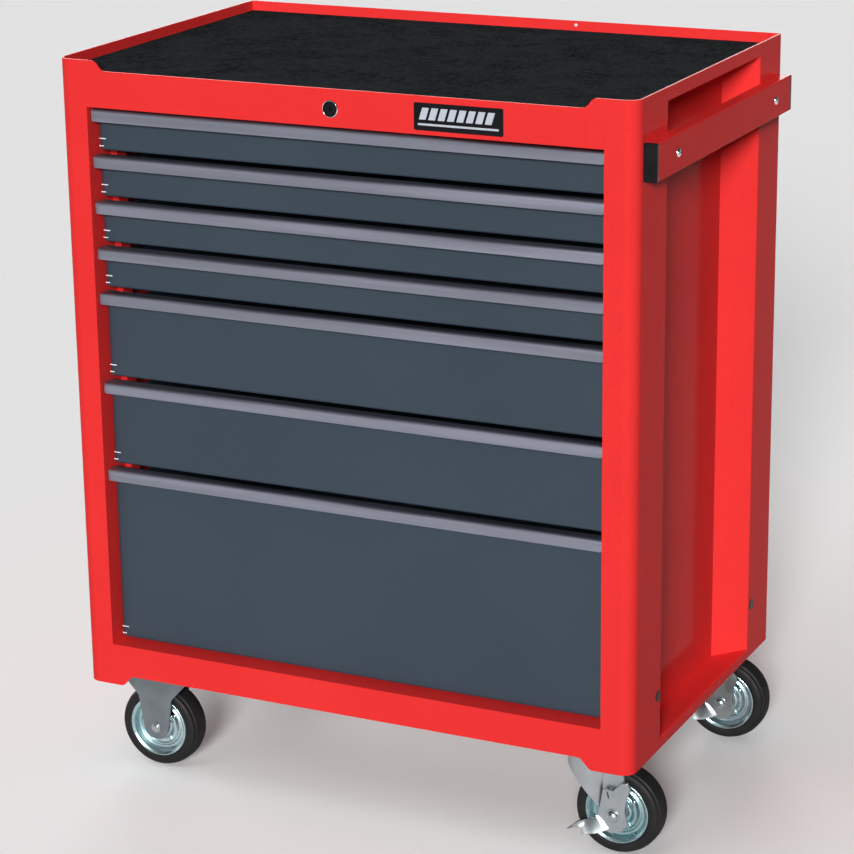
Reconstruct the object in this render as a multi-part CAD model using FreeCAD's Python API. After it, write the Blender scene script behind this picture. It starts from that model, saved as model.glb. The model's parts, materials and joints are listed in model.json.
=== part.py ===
import FreeCAD, Part
import math
import os

# Seven-drawer steel roller cabinet. Millimetres, +Z up, drawers facing -Y, the push handle on +X.
# Everything is drawn with X = 0 on the middle of the body, Y = 0 on its front face and Z = 0 on the
# floor. save() then moves each piece so that the origin is the middle of the whole object's footprint.

# ---------------------------------------------------------------- body
BODY_W = 680.0
BODY_D = 440.0
BODY_H = 730.0
BODY_Z = 114.0            # underside of the posts above the floor
SHEET = 1.2
POST_W = 36.0             # width of a front post's face
CORNER_R = 16.0           # vertical rounding of the front posts
REAR_CORNER_R = 3.0
SEAM = 0.1                # gap between sheets that lie against each other
HALF_W = BODY_W / 2
SIDE_X = HALF_W - POST_W  # inner face of the side walls

# heights measured from the underside of the posts
RAIL_LOW_Z = 12.7         # lower edge of the bottom rail
RAIL_TOP_Z = 49.8         # upper edge of the bottom rail
HEAD_LOW_Z = 678.4        # lower edge of the top rail
HEAD_TOP_Z = 719.0        # upper edge of the top rail, level with the mat
PAN_Z = 13.0              # underside of the floor pan
TRAY_Z = 715.3            # underside of the top tray
MAT_T = 2.0
HEAD_FLANGE = 22.0
RAIL_FLANGE = 30.0
RAIL_LIP = 9.0
STEP_R = 10.0             # rounding of the raised corners' S-shaped steps
STEP_HIGH_X = 292.0
STEP_LOW_X = 284.0
FOOT_STEP_X = (280.0, 292.0)
FOOT_STEP_R = 6.0

# pressed recess in each side: mouth on the outer skin, floor on the side wall
MOUTH_Y = (84.0, 370.0)
MOUTH_Z = (12.0, 714.0)
WELL_Y = (120.0, 342.0)
WELL_Z = (8.0, 712.0)
MOUTH_R = 3.0

# back panel
RIB_L = 480.0
RIB_W = 16.0
RIB_Z = (190.0, 365.0, 540.0)
BACK_FLANGE = 14.0

# ---------------------------------------------------------------- drawers
UNIT = 51.7               # pitch of a shallow drawer
DRAWER_UNITS = (1, 1, 1, 1, 2, 2, 4)   # the last one fills what is left above the bottom rail
FIRST_TOP_Z = 675.3       # top of the first drawer's handle
DRAWER_GAP = 4.5          # between a front and the handle below it
FRONT_HALF_W = 301.8
FRONT_Y = 17.0            # face of the drawer fronts
FRONT_DEPTH = 12.0
FRONT_EDGE_R = 6.0
FRONT_FOOT_R = 2.5
BOX_HALF_W = 283.0
BOX_BACK_Y = 404.0
BOX_T = 1.0
BOX_LIFT = 3.0            # box floor above the front's lower edge
BOX_DROP = 14.0           # box rim below the handle's top
HANDLE_Y = 5.0
HANDLE_H = 14.0
HANDLE_T = 2.0
HANDLE_WEB = 2.2
HANDLE_HALF_W = 302.3
HANDLE_NOSE_R = 4.0
HANDLE_END_R = 3.0
CLIP_H = 9.0
CLIP_T = 1.5

# ball-bearing slides, two members each
SLIDE_L = 380.0
SLIDE_Y = 32.0
SLIDE_OUTER_H = 35.0
SLIDE_INNER_H = 29.0
SLIDE_LIFT = 0.6          # inner member above the box's underside
SLIDE_OUTER_LIP = 11.0
SLIDE_INNER_LIP = 9.0
UPRIGHT_X = 296.0         # face of the uprights that the slides hang on
UPRIGHT_W = 20.0
UPRIGHT_Y = (45.0, 385.0)
UPRIGHT_Z = (20.0, 700.0)

# ---------------------------------------------------------------- push handle
BAR_H = 40.0
BAR_T = 15.0
BAR_WALL = 1.5
BAR_Y = (16.0, 434.0)
BAR_Z = 665.0             # middle of the bar
CAP_T = 4.0
CAP_PLUG = 12.0
SCREW_Y = (76.0, 381.0)
SCREW_R = 3.0
SCREW_HEAD_R = 5.0
SCREW_HEAD_H = 2.0

# ---------------------------------------------------------------- lock and badge
LOCK_X = -3.7
LOCK_Z = 698.0
LOCK_PROUD = 2.5
LOCK_FLANGE_R = 9.6
LOCK_BARREL_R = 9.0
PLUG_R = 7.0
FIT = 0.05                # radial running clearance
PLUG_END_Y = 16.0
LOCK_BARREL_END_Y = 14.0
ROD_R = 3.5
CRANK_R = 10.0            # throw of the crank, and travel of the bar
CRANK_END_R = 5.0
CRANK_Y = (421.0, 424.0)
CRANK_PIN_R = 2.5
CRANK_PIN_END_Y = 433.0
BAR_PLATE_Y = (428.0, 430.5)
LOCK_BAR_HALF_W = 10.0
BAR_HEAD_HALF_H = 12.0    # slotted head of the bar, which reaches past the crank pin
BAR_HEAD_REACH = 19.0
BAR_TAIL = 10.0           # strip that runs on below the lowest hook
SLOT_X = (-5.0, 15.0)
SLOT_HALF_H = 5.0
SLOT_END_R = 4.0
HOOK_HALF_W = 8.0
HOOK_Y = 396.0
HOOK_T = 2.0
HOOK_DROP = 8.0
HOOK_CLEAR = 3.0
GUIDE_Z = (300.0, 538.0)
GUIDE_H = 12.0
GUIDE_WALL = 6.0
GUIDE_GAP = 0.6
GUIDE_FACE_T = 1.5
BADGE_X = (93.0, 194.0)
BADGE_Z = (683.0, 712.0)
BADGE_T = 1.0
BADGE_R = 2.0
PLUG_HOLE_R = 5.5
PLUG_HEAD_T = 0.8
PLUG_Y = (76.0, 380.0)
PLUG_Z = 65.0
KEYWAY_HALF = (0.8, 3.5)
KEYWAY_END_Y = 4.0
PLUG_STEM = 4.0
SCREW_SHANK = 8.0         # shank beyond the bar, through the side's skin
BAR_EDGE_R = 1.5

# ---------------------------------------------------------------- casters
WHEEL_R = 50.0
CASTER_X = 273.0
CASTER_Y = (57.0, 400.0)
TRAIL = 34.0
PLATE_TOP = BODY_Z + PAN_Z
PLATE_T = 3.0
PLATE_HALF = (45.0, 36.0)
BOLT_HALF = (22.0, 28.0)
BOLT_R = 4.0
BOLT_HOLE_R = 4.2
BOLT_HEAD_R = 6.5
BOLT_HEAD_H = 5.0
LEG_GAP = 18.0            # inner face of a leg from the wheel's middle plane
LEG_T = 2.5
AXLE_R = 6.0
AXLE_HEAD_R = 8.5
AXLE_HEAD_H = 4.0
CROWN_Z = (113.0, 116.0)
SKIRT_R = 28.7            # the fork's round skirt about the kingpin
SKIRT_FOOT = ((-29.5, 104.9), (0.0, 76.6), (20.1, 48.7))   # its slanting lower edge: (x, height)
RACE_R = (18.0, 27.0)
RACE_CLEAR = 0.3
KINGPIN_R = 5.0
KINGPIN_HEAD_R = 9.0
KINGPIN_HEAD_H = 3.0
BRAKE_T = 2.2
BRAKE_CLEAR = 4.5         # clears the skirt through the pedal's 12 degree travel
PEDAL_REACH_Y = 20.0

# outlines of the pressed caster parts, as (x, height, corner radius) from the part's own centre line
FIXED_HALF_LEG = ((14.0, 36.0, 13.99), (22.0, 88.0, 14.0), (43.0, 111.0, 6.0), (43.0, 124.0))
FORK_LEG = ((19.2, 116.0), (40.0, 116.0, 6.0), (44.0, 92.0, 14.0), (48.6, 50.0, 14.5), (34.0, 32.0, 13.6),
            (19.2, 49.5, 10.0))
BRAKE_PLATE = ((15.4, 91.2, 3.0), (20.2, 85.2, 5.0), (15.4, 71.2, 18.0), (13.4, 55.2, 14.0),
               (17.4, 43.2, 6.0), (10.3, 33.2, 6.0), (-1.2, 29.2, 5.0), (-8.2, 31.2, 3.0),
               (-17.8, 46.2, 4.0), (-15.2, 61.2, 10.0), (-11.7, 80.7, 2.0), (0.3, 79.8, 2.0),
               (10.4, 90.6, 2.0))
BRAKE_TONGUE = ((-10.0, 38.0), (-26.0, 40.0, 20.0), (-46.0, 27.0, 1.2), (-47.0, 29.6, 1.2),
                (-27.0, 42.6, 20.0), (-10.0, 40.6))
NOTCH_X = (-60.0, -40.0)
NOTCH_HALF_W = (5.0, 4.0)
NOTCH_R = 3.0

# half sections of the wheel, as (distance from the middle plane, radius from the axle)
TYRE_SECTION = ((16.0, 37.0), (16.0, 45.0), (13.0, 47.6), (11.0, 46.8), (9.0, 48.8), (6.0, 50.0))
RIM_SECTION = ((17.0, 6.05), (17.0, 11.0), (4.0, 13.0), (4.0, 27.0), (12.5, 33.0), (15.5, 34.0), (15.5, 37.0))

# the whole object's footprint, whose middle becomes the origin
FOOTPRINT_X = (-HALF_W - PLUG_HEAD_T, CASTER_X + TRAIL + WHEEL_R)
FOOTPRINT_Y = (-LOCK_PROUD, BODY_D)


def outline(points, place):
    """A closed wire through (u, v) or (u, v, radius) corners, each radius a tangent arc."""
    starts = []
    ends = []
    arcs = []
    count = len(points)
    for i in range(count):
        u, v = points[i][:2]
        radius = points[i][2] if len(points[i]) > 2 else 0.0
        before = points[i - 1]
        after = points[(i + 1) % count]
        if radius == 0.0:
            starts.append((u, v))
            ends.append((u, v))
            arcs.append(None)
            continue
        a = math.atan2(before[1] - v, before[0] - u)
        b = math.atan2(after[1] - v, after[0] - u)
        half = abs((b - a + math.pi) % (2 * math.pi) - math.pi) / 2
        reach = radius / math.tan(half)
        middle = math.atan2(math.sin(a) + math.sin(b), math.cos(a) + math.cos(b))
        crown = radius / math.sin(half) - radius
        starts.append((u + reach * math.cos(a), v + reach * math.sin(a)))
        ends.append((u + reach * math.cos(b), v + reach * math.sin(b)))
        arcs.append((u + crown * math.cos(middle), v + crown * math.sin(middle)))
    edges = []
    for i in range(count):
        if arcs[i]:
            edges.append(Part.Arc(place(*starts[i]), place(*arcs[i]), place(*ends[i])).toShape())
        here = place(*ends[i])
        there = place(*starts[(i + 1) % count])
        if here.distanceToPoint(there) > 1e-6:
            edges.append(Part.makeLine(here, there))
    return Part.Wire(edges)


def plate_xy(points, z0, z1):
    wire = outline(points, lambda u, v: FreeCAD.Vector(u, v, z0))
    return Part.Face(wire).extrude(FreeCAD.Vector(0, 0, z1 - z0))


def plate_xz(points, y0, y1):
    wire = outline(points, lambda u, v: FreeCAD.Vector(u, y0, v))
    return Part.Face(wire).extrude(FreeCAD.Vector(0, y1 - y0, 0))


def plate_yz(points, x0, x1):
    wire = outline(points, lambda u, v: FreeCAD.Vector(x0, u, v))
    return Part.Face(wire).extrude(FreeCAD.Vector(x1 - x0, 0, 0))


def block(x0, x1, y0, y1, z0, z1):
    return Part.makeBox(x1 - x0, y1 - y0, z1 - z0, FreeCAD.Vector(x0, y0, z0))


def rod_x(y, z, r, x0, x1):
    return Part.makeCylinder(r, x1 - x0, FreeCAD.Vector(x0, y, z), FreeCAD.Vector(1, 0, 0))


def rod_y(x, z, r, y0, y1):
    return Part.makeCylinder(r, y1 - y0, FreeCAD.Vector(x, y0, z), FreeCAD.Vector(0, 1, 0))


def rod_z(x, y, r, z0, z1):
    return Part.makeCylinder(r, z1 - z0, FreeCAD.Vector(x, y, z0), FreeCAD.Vector(0, 0, 1))


def ring_y(points, x, y, z):
    """The (offset along Y, radius) outline turned round the Y axis through (x, y, z)."""
    wire = outline(points, lambda u, v: FreeCAD.Vector(x, y + u, z + v))
    axis = FreeCAD.Vector(0, 1, 0)
    return Part.Face(wire).revolve(FreeCAD.Vector(x, y, z), axis, 360)


def dome_y(x, y, z, r, height, side):
    """A low round head whose flat face is at y and whose crown points to side, -1 or +1."""
    ball_r = (r * r + height * height) / (2 * height)
    ball = Part.makeSphere(ball_r, FreeCAD.Vector(x, y + side * (height - ball_r), z))
    low, high = sorted((y, y + side * height))
    return ball.common(rod_y(x, z, r, low, high))


def frustum(mouth_x, mouth_y, mouth_z, floor_x, floor_y, floor_z):
    """The six-sided solid between two rectangles that face along X."""
    corners = ((0, 0), (1, 0), (1, 1), (0, 1))
    mouth = [FreeCAD.Vector(mouth_x, mouth_y[i], mouth_z[j]) for i, j in corners]
    floor = [FreeCAD.Vector(floor_x, floor_y[i], floor_z[j]) for i, j in corners]
    loops = [mouth, floor]
    for i in range(4):
        j = (i + 1) % 4
        loops.append([mouth[i], mouth[j], floor[j], floor[i]])
    faces = [Part.Face(Part.makePolygon(loop + [loop[0]])) for loop in loops]
    return Part.Solid(Part.makeShell(faces))


def fused(first, *others):
    shape = first
    for other in others:
        shape = shape.fuse(other)
    return shape.removeSplitter()


def mirrored(shape):
    return shape.mirror(FreeCAD.Vector(0, 0, 0), FreeCAD.Vector(1, 0, 0))


def save(name, shapes):
    shape = Part.makeCompound(shapes) if isinstance(shapes, list) else shapes
    shape = shape.copy()
    middle_x = sum(FOOTPRINT_X) / 2
    middle_y = sum(FOOTPRINT_Y) / 2
    shape.translate(FreeCAD.Vector(-middle_x, -middle_y, 0))
    shape.exportStep("parts/" + name + ".step")


# ---------------------------------------------------------------- body pieces
def body_z(height):
    return BODY_Z + height


def side_panel():
    """Right-hand side: rounded front post, rear post and the pressed recess between them."""
    bottom, top = BODY_Z, body_z(BODY_H)
    skin = plate_xy([(SIDE_X, 0), (HALF_W, 0, CORNER_R), (HALF_W, BODY_D, REAR_CORNER_R),
                     (SIDE_X, BODY_D)], bottom, top)
    hollow = plate_xy([(SIDE_X + SHEET, SHEET), (HALF_W - SHEET, SHEET, CORNER_R - SHEET),
                       (HALF_W - SHEET, BODY_D - SHEET, REAR_CORNER_R - SHEET),
                       (SIDE_X + SHEET, BODY_D - SHEET)], bottom - 1, top + 1)
    skin = skin.cut(hollow)
    # the inner wall stands on the floor pan and ends under the top tray
    for low, high in ((bottom - 1, body_z(PAN_Z + SHEET + SEAM)), (body_z(TRAY_Z - SEAM), top + 1)):
        skin = skin.cut(block(SIDE_X - 1, SIDE_X + SHEET, SHEET, BODY_D - SHEET, low, high))
    mouth_z = [body_z(z) for z in MOUTH_Z]
    well_z = [body_z(z) for z in WELL_Z]
    well_x = SIDE_X + SHEET
    pocket = frustum(HALF_W, MOUTH_Y, mouth_z, well_x, WELL_Y, well_z)
    backing = frustum(HALF_W, (MOUTH_Y[0] - SHEET, MOUTH_Y[1] + SHEET),
                      (mouth_z[0] - SHEET, mouth_z[1] + SHEET), SIDE_X,
                      (WELL_Y[0] - SHEET, WELL_Y[1] + SHEET), (well_z[0] - SHEET, well_z[1] + SHEET))
    panel = fused(skin, backing).cut(pocket)
    rim = []
    for edge in panel.Edges:
        box = edge.BoundBox
        on_skin = abs(box.XMin - HALF_W) < 1e-4 and abs(box.XMax - HALF_W) < 1e-4
        inside_y = box.YMin > MOUTH_Y[0] - 0.1 and box.YMax < MOUTH_Y[1] + 0.1
        inside_z = box.ZMin > mouth_z[0] - 0.1 and box.ZMax < mouth_z[1] + 0.1
        if on_skin and inside_y and inside_z:
            rim.append(edge)
    panel = panel.makeFillet(MOUTH_R, rim)
    screw_z = body_z(BAR_Z)
    for y in SCREW_Y:
        panel = panel.cut(rod_x(y, screw_z, SCREW_R + SEAM, HALF_W - 5, HALF_W + 5))
    for y in PLUG_Y:
        panel = panel.cut(rod_x(y, body_z(PLUG_Z), PLUG_HOLE_R, HALF_W - 5, HALF_W + 5))
    return panel


def head_profile():
    """The top rail's upper edge from right to left, with its raised ends."""
    high, low = body_z(BODY_H), body_z(HEAD_TOP_Z)
    return [(SIDE_X, high), (STEP_HIGH_X, high, STEP_R), (STEP_LOW_X, low, STEP_R),
            (-STEP_LOW_X, low, STEP_R), (-STEP_HIGH_X, high, STEP_R), (-SIDE_X, high)]


def front_top_rail():
    low = body_z(HEAD_LOW_Z)
    face = plate_xz([(-SIDE_X, low), (SIDE_X, low)] + head_profile(), 0, SHEET)
    inner_x = SIDE_X - SEAM
    flange = block(-inner_x, inner_x, SHEET, HEAD_FLANGE, low, low + SHEET)
    lock_hole = rod_y(LOCK_X, body_z(LOCK_Z), LOCK_BARREL_R, -1, SHEET + 1)
    return fused(face, flange).cut(lock_hole)


def front_bottom_rail():
    low, step, top = body_z(0), body_z(RAIL_LOW_Z), body_z(RAIL_TOP_Z)
    near, far = FOOT_STEP_X
    face = plate_xz([(-SIDE_X, top), (-SIDE_X, low), (-far, low, FOOT_STEP_R),
                     (-near, step, FOOT_STEP_R), (near, step, FOOT_STEP_R), (far, low, FOOT_STEP_R),
                     (SIDE_X, low), (SIDE_X, top)], 0, SHEET)
    inner_x = SIDE_X - SEAM
    flange = block(-inner_x, inner_x, SHEET, RAIL_FLANGE, top - SHEET, top)
    lip = block(-inner_x, inner_x, RAIL_FLANGE - SHEET, RAIL_FLANGE, top - RAIL_LIP, top)
    return fused(face, flange, lip)


def tray_outline(inset):
    """Plan of the space inside the body's skin, drawn in by inset."""
    x = HALF_W - SHEET - SEAM - inset
    front, back = SHEET + SEAM + inset, BODY_D - SHEET - SEAM - inset
    front_r = CORNER_R - SHEET - SEAM - inset
    back_r = REAR_CORNER_R - SHEET - SEAM - inset
    return [(-x, front, front_r), (x, front, front_r), (x, back, back_r), (-x, back, back_r)]


def top_tray():
    floor_z, top = body_z(TRAY_Z), body_z(BODY_H)
    tray = plate_xy(tray_outline(0), floor_z, top)
    tray = tray.cut(plate_xy(tray_outline(SHEET), floor_z + SHEET, top + 1))
    above = plate_xz(head_profile() + [(-SIDE_X, top + 1), (SIDE_X, top + 1)], 0, 4 * SHEET)
    return tray.cut(above)


def top_mat():
    low = body_z(TRAY_Z) + SHEET
    return plate_xy(tray_outline(SHEET + SEAM), low, low + MAT_T)


def bottom_pan():
    x = HALF_W - SHEET - SEAM
    wall = SIDE_X - SEAM
    front, back = SHEET + SEAM, BODY_D - SHEET - SEAM
    clear = 4.0
    right = [(x, front, x + CORNER_R - HALF_W), (x, MOUTH_Y[0] - clear), (wall, WELL_Y[0] - clear),
             (wall, WELL_Y[1] + clear), (x, MOUTH_Y[1] + clear), (x, back, x + REAR_CORNER_R - HALF_W)]
    left = [(-point[0],) + tuple(point[1:]) for point in reversed(right)]
    pan = plate_xy(right + left, body_z(PAN_Z), body_z(PAN_Z) + SHEET)
    for x, y in bolt_places():
        pan = pan.cut(rod_z(x, y, BOLT_HOLE_R, body_z(PAN_Z) - 1, body_z(PAN_Z) + 3))
    return pan


def back_panel():
    x = SIDE_X - SEAM
    low, high = body_z(PAN_Z + SHEET + SEAM), body_z(TRAY_Z - SEAM)
    back = BODY_D - SHEET - SEAM
    panel = block(-x, x, back - SHEET, back, low, high)
    flange = block(x - SHEET, x, back - BACK_FLANGE, back, low, high)
    panel = fused(panel, flange, mirrored(flange))
    for z in RIB_Z:
        z0, z1 = body_z(z) - RIB_W / 2, body_z(z) + RIB_W / 2
        end_r = RIB_W / 2 - 0.01
        rib = plate_xz([(-RIB_L / 2, z0, end_r), (RIB_L / 2, z0, end_r), (RIB_L / 2, z1, end_r),
                        (-RIB_L / 2, z1, end_r)], back - SHEET, back + SHEET)
        panel = fused(panel, rib)
    return panel


def slide_upright(y):
    """A channel on the right-hand wall that carries the slides."""
    z0, z1 = body_z(UPRIGHT_Z[0]), body_z(UPRIGHT_Z[1])
    channel = block(UPRIGHT_X, SIDE_X, y, y + UPRIGHT_W, z0, z1)
    return channel.cut(block(UPRIGHT_X + SHEET, SIDE_X + 1, y + SHEET, y + UPRIGHT_W - SHEET, z0, z1))


# ---------------------------------------------------------------- drawers
def drawer_levels():
    """For each drawer: top of its handle and lower edge of its front, above the floor."""
    levels = []
    top = FIRST_TOP_Z
    for units in DRAWER_UNITS[:-1]:
        below = top - units * UNIT
        levels.append((body_z(top), body_z(below + DRAWER_GAP)))
        top = below
    levels.append((body_z(top), body_z(RAIL_TOP_Z + DRAWER_GAP)))
    return levels


def slide_height(front_low):
    """Middle height of the pair of slides of the drawer whose front ends at front_low."""
    return front_low + BOX_LIFT + SLIDE_LIFT + SLIDE_INNER_H / 2


def drawer_body(top, low):
    """Front with rolled edges, and the open box welded to the back of it."""
    front_top = top - HANDLE_WEB
    back_y = FRONT_Y + FRONT_DEPTH
    front = plate_xy([(-FRONT_HALF_W, FRONT_Y, FRONT_EDGE_R), (FRONT_HALF_W, FRONT_Y, FRONT_EDGE_R),
                      (FRONT_HALF_W, back_y), (-FRONT_HALF_W, back_y)], low, front_top)
    foot = []
    for edge in front.Edges:
        box = edge.BoundBox
        if box.ZMax < low + 0.1 and box.YMin < FRONT_Y + 0.1:
            foot.append(edge)
    front = front.makeFillet(FRONT_FOOT_R, foot)
    x, r = FRONT_HALF_W - SHEET, FRONT_EDGE_R - SHEET
    front = front.cut(plate_xy([(-x, FRONT_Y + SHEET, r), (x, FRONT_Y + SHEET, r), (x, back_y + 1),
                                (-x, back_y + 1)], low + SHEET, front_top + 1))
    box_low, box_high = low + BOX_LIFT, top - BOX_DROP
    wall_y = FRONT_Y + SHEET
    box = block(-BOX_HALF_W, BOX_HALF_W, wall_y, BOX_BACK_Y, box_low, box_high)
    inner_x = BOX_HALF_W - BOX_T
    box = box.cut(block(-inner_x, inner_x, wall_y + BOX_T, BOX_BACK_Y - BOX_T, box_low + BOX_T,
                        box_high + 1))
    return fused(front, box)


def drawer_handle(top):
    """Extruded pull: rounded nose, hanging lip to hook the fingers under, and a clip on the front."""
    lip_low = top - HANDLE_H
    under = top - HANDLE_WEB
    clip_y = FRONT_Y + SHEET + SEAM
    section = [(HANDLE_Y, top, HANDLE_NOSE_R), (HANDLE_Y, lip_low, 0.9), (HANDLE_Y + HANDLE_T, lip_low, 0.9),
               (HANDLE_Y + HANDLE_T, under, HANDLE_NOSE_R - HANDLE_T), (clip_y, under),
               (clip_y, top - CLIP_H), (clip_y + CLIP_T, top - CLIP_H), (clip_y + CLIP_T, top, 0.6)]
    handle = plate_yz(section, -HANDLE_HALF_W, HANDLE_HALF_W)
    ends = plate_xz([(-HANDLE_HALF_W, lip_low, HANDLE_END_R), (HANDLE_HALF_W, lip_low, HANDLE_END_R),
                     (HANDLE_HALF_W, top, 1.0), (-HANDLE_HALF_W, top, 1.0)], 0, FRONT_Y + FRONT_DEPTH)
    handle = handle.common(ends)
    # the clip stops short of the front's turned-back sides
    clip_end = FRONT_HALF_W - FRONT_EDGE_R
    beyond = block(clip_end, HANDLE_HALF_W, FRONT_Y, FRONT_Y + FRONT_DEPTH, lip_low, under)
    return handle.cut(beyond).cut(mirrored(beyond))


def slide_outer(z):
    """Right-hand fixed member: a channel open towards the drawer."""
    half = SLIDE_OUTER_H / 2
    y1 = SLIDE_Y + SLIDE_L
    member = block(UPRIGHT_X - SLIDE_OUTER_LIP, UPRIGHT_X, SLIDE_Y, y1, z - half, z + half)
    return member.cut(block(UPRIGHT_X - SLIDE_OUTER_LIP - 1, UPRIGHT_X - SHEET, SLIDE_Y - 1, y1 + 1,
                            z - half + SHEET, z + half - SHEET))


def slide_inner(z):
    """Right-hand moving member: a smaller channel on the drawer's side."""
    half = SLIDE_INNER_H / 2
    y1 = SLIDE_Y + SLIDE_L
    member = block(BOX_HALF_W, BOX_HALF_W + SLIDE_INNER_LIP, SLIDE_Y, y1, z - half, z + half)
    return member.cut(block(BOX_HALF_W + SHEET, BOX_HALF_W + SLIDE_INNER_LIP + 1, SLIDE_Y - 1, y1 + 1,
                            z - half + SHEET, z + half - SHEET))


# ---------------------------------------------------------------- push handle, badge, lock
def side_handle_bar():
    z = body_z(BAR_Z)
    x1 = HALF_W + BAR_T
    y0, y1 = BAR_Y[0] + CAP_T, BAR_Y[1] - CAP_T
    z0, z1 = z - BAR_H / 2, z + BAR_H / 2
    bar = plate_xz([(HALF_W, z0, BAR_EDGE_R), (x1, z0, BAR_EDGE_R), (x1, z1, BAR_EDGE_R),
                    (HALF_W, z1, BAR_EDGE_R)], y0, y1)
    bar = bar.cut(block(HALF_W + BAR_WALL, x1 - BAR_WALL, y0 - 1, y1 + 1, z0 + BAR_WALL, z1 - BAR_WALL))
    for y in SCREW_Y:
        bar = bar.cut(rod_x(y, z, SCREW_R + SEAM, HALF_W - 1, x1 + 1))
    return bar


def side_handle_cap(y0, y1, plug0, plug1):
    """A moulded end cap: visible plate from y0 to y1 and the plug that fills the tube's mouth."""
    z = body_z(BAR_Z)
    x1 = HALF_W + BAR_T
    z0, z1 = z - BAR_H / 2, z + BAR_H / 2
    plate = plate_xz([(HALF_W, z0, BAR_EDGE_R), (x1, z0, BAR_EDGE_R), (x1, z1, BAR_EDGE_R),
                      (HALF_W, z1, BAR_EDGE_R)], y0, y1)
    inset = BAR_WALL + SEAM
    plug = block(HALF_W + inset, x1 - inset, plug0, plug1, z0 + inset, z1 - inset)
    return fused(plate, plug)


def side_handle_screw(y):
    z = body_z(BAR_Z)
    x1 = HALF_W + BAR_T
    shank = rod_x(y, z, SCREW_R, HALF_W - SCREW_SHANK, x1)
    ball_r = (SCREW_HEAD_R ** 2 + SCREW_HEAD_H ** 2) / (2 * SCREW_HEAD_H)
    ball = Part.makeSphere(ball_r, FreeCAD.Vector(x1 + SCREW_HEAD_H - ball_r, y, z))
    head = ball.common(rod_x(y, z, SCREW_HEAD_R, x1, x1 + SCREW_HEAD_H))
    return fused(shank, head)


def badge_plate():
    x0, x1 = BADGE_X
    z0, z1 = [body_z(z) for z in BADGE_Z]
    return plate_xz([(x0, z0, BADGE_R), (x1, z0, BADGE_R), (x1, z1, BADGE_R), (x0, z1, BADGE_R)],
                    -BADGE_T, 0)


def lock_housing():
    z = body_z(LOCK_Z)
    flange = rod_y(LOCK_X, z, LOCK_FLANGE_R, -LOCK_PROUD + 0.5, 0)
    barrel = rod_y(LOCK_X, z, LOCK_BARREL_R, 0, LOCK_BARREL_END_Y)
    return fused(flange, barrel).cut(rod_y(LOCK_X, z, PLUG_R + FIT, -LOCK_PROUD, LOCK_BARREL_END_Y + 1))


def lock_plug():
    z = body_z(LOCK_Z)
    plug = rod_y(LOCK_X, z, PLUG_R, -LOCK_PROUD, PLUG_END_Y)
    half_w, half_h = KEYWAY_HALF
    keyway = block(LOCK_X - half_w, LOCK_X + half_w, -LOCK_PROUD - 1, KEYWAY_END_Y, z - half_h, z + half_h)
    return plug.cut(keyway)


def lock_rod():
    z = body_z(LOCK_Z)
    rod = rod_y(LOCK_X, z, ROD_R, PLUG_END_Y, CRANK_Y[1])
    x0, x1 = LOCK_X - CRANK_END_R, LOCK_X + CRANK_R + CRANK_END_R
    z0, z1 = z - CRANK_END_R, z + CRANK_END_R
    round_end = CRANK_END_R - 0.01
    crank = plate_xz([(x0, z0, round_end), (x1, z0, round_end), (x1, z1, round_end), (x0, z1, round_end)],
                     CRANK_Y[0], CRANK_Y[1])
    pin = rod_y(LOCK_X + CRANK_R, z, CRANK_PIN_R, CRANK_Y[0], CRANK_PIN_END_Y)
    return fused(rod, crank, pin)


def lock_bar():
    """Upright strip behind the drawers with one hook over each drawer's back wall."""
    z = body_z(LOCK_Z)
    y0, y1 = BAR_PLATE_Y
    tops = [top - BOX_DROP for top, low in drawer_levels()]
    head_low, head_high = z - BAR_HEAD_HALF_H, z + BAR_HEAD_HALF_H
    head = block(LOCK_X - LOCK_BAR_HALF_W, LOCK_X + BAR_HEAD_REACH, y0, y1, head_low, head_high)
    near, far = LOCK_X + SLOT_X[0], LOCK_X + SLOT_X[1]
    slot_low, slot_high = z - SLOT_HALF_H, z + SLOT_HALF_H
    slot = plate_xz([(near, slot_low, SLOT_END_R), (far, slot_low, SLOT_END_R), (far, slot_high, SLOT_END_R),
                     (near, slot_high, SLOT_END_R)], y0 - 1, y1 + 1)
    strip = block(LOCK_X - LOCK_BAR_HALF_W, LOCK_X + LOCK_BAR_HALF_W, y0, y1, tops[-1] - BAR_TAIL, head_low)
    bar = fused(head, strip).cut(slot)
    for rim in tops:
        lip_low = rim + HOOK_CLEAR
        arm_low = lip_low + HOOK_DROP
        arm = block(LOCK_X - HOOK_HALF_W, LOCK_X + HOOK_HALF_W, HOOK_Y, y0, arm_low, arm_low + HOOK_T)
        lip = block(LOCK_X - HOOK_HALF_W, LOCK_X + HOOK_HALF_W, HOOK_Y, HOOK_Y + HOOK_T, lip_low, arm_low)
        bar = fused(bar, arm, lip)
    return bar


def lock_bar_guide(z):
    """A strap welded to the back panel, which the lock bar runs through."""
    y0, y1 = BAR_PLATE_Y
    back = BODY_D - 2 * SHEET - SEAM
    outer = LOCK_BAR_HALF_W + GUIDE_WALL
    inner = LOCK_BAR_HALF_W + GUIDE_GAP
    near, far = y0 - GUIDE_GAP, y1 + GUIDE_GAP
    strap = block(LOCK_X - outer, LOCK_X + outer, near - GUIDE_FACE_T, back, z, z + GUIDE_H)
    return strap.cut(block(LOCK_X - inner, LOCK_X + inner, near, far, z - 1, z + GUIDE_H + 1))


def hole_plug(y):
    z = body_z(PLUG_Z)
    head = rod_x(y, z, PLUG_HOLE_R + 1, HALF_W, HALF_W + PLUG_HEAD_T)
    stem = rod_x(y, z, PLUG_HOLE_R - SEAM, HALF_W - PLUG_STEM, HALF_W)
    return fused(head, stem)


# ---------------------------------------------------------------- casters
def caster_centres():
    return [(side * CASTER_X, y) for side in (-1, 1) for y in CASTER_Y]


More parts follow.
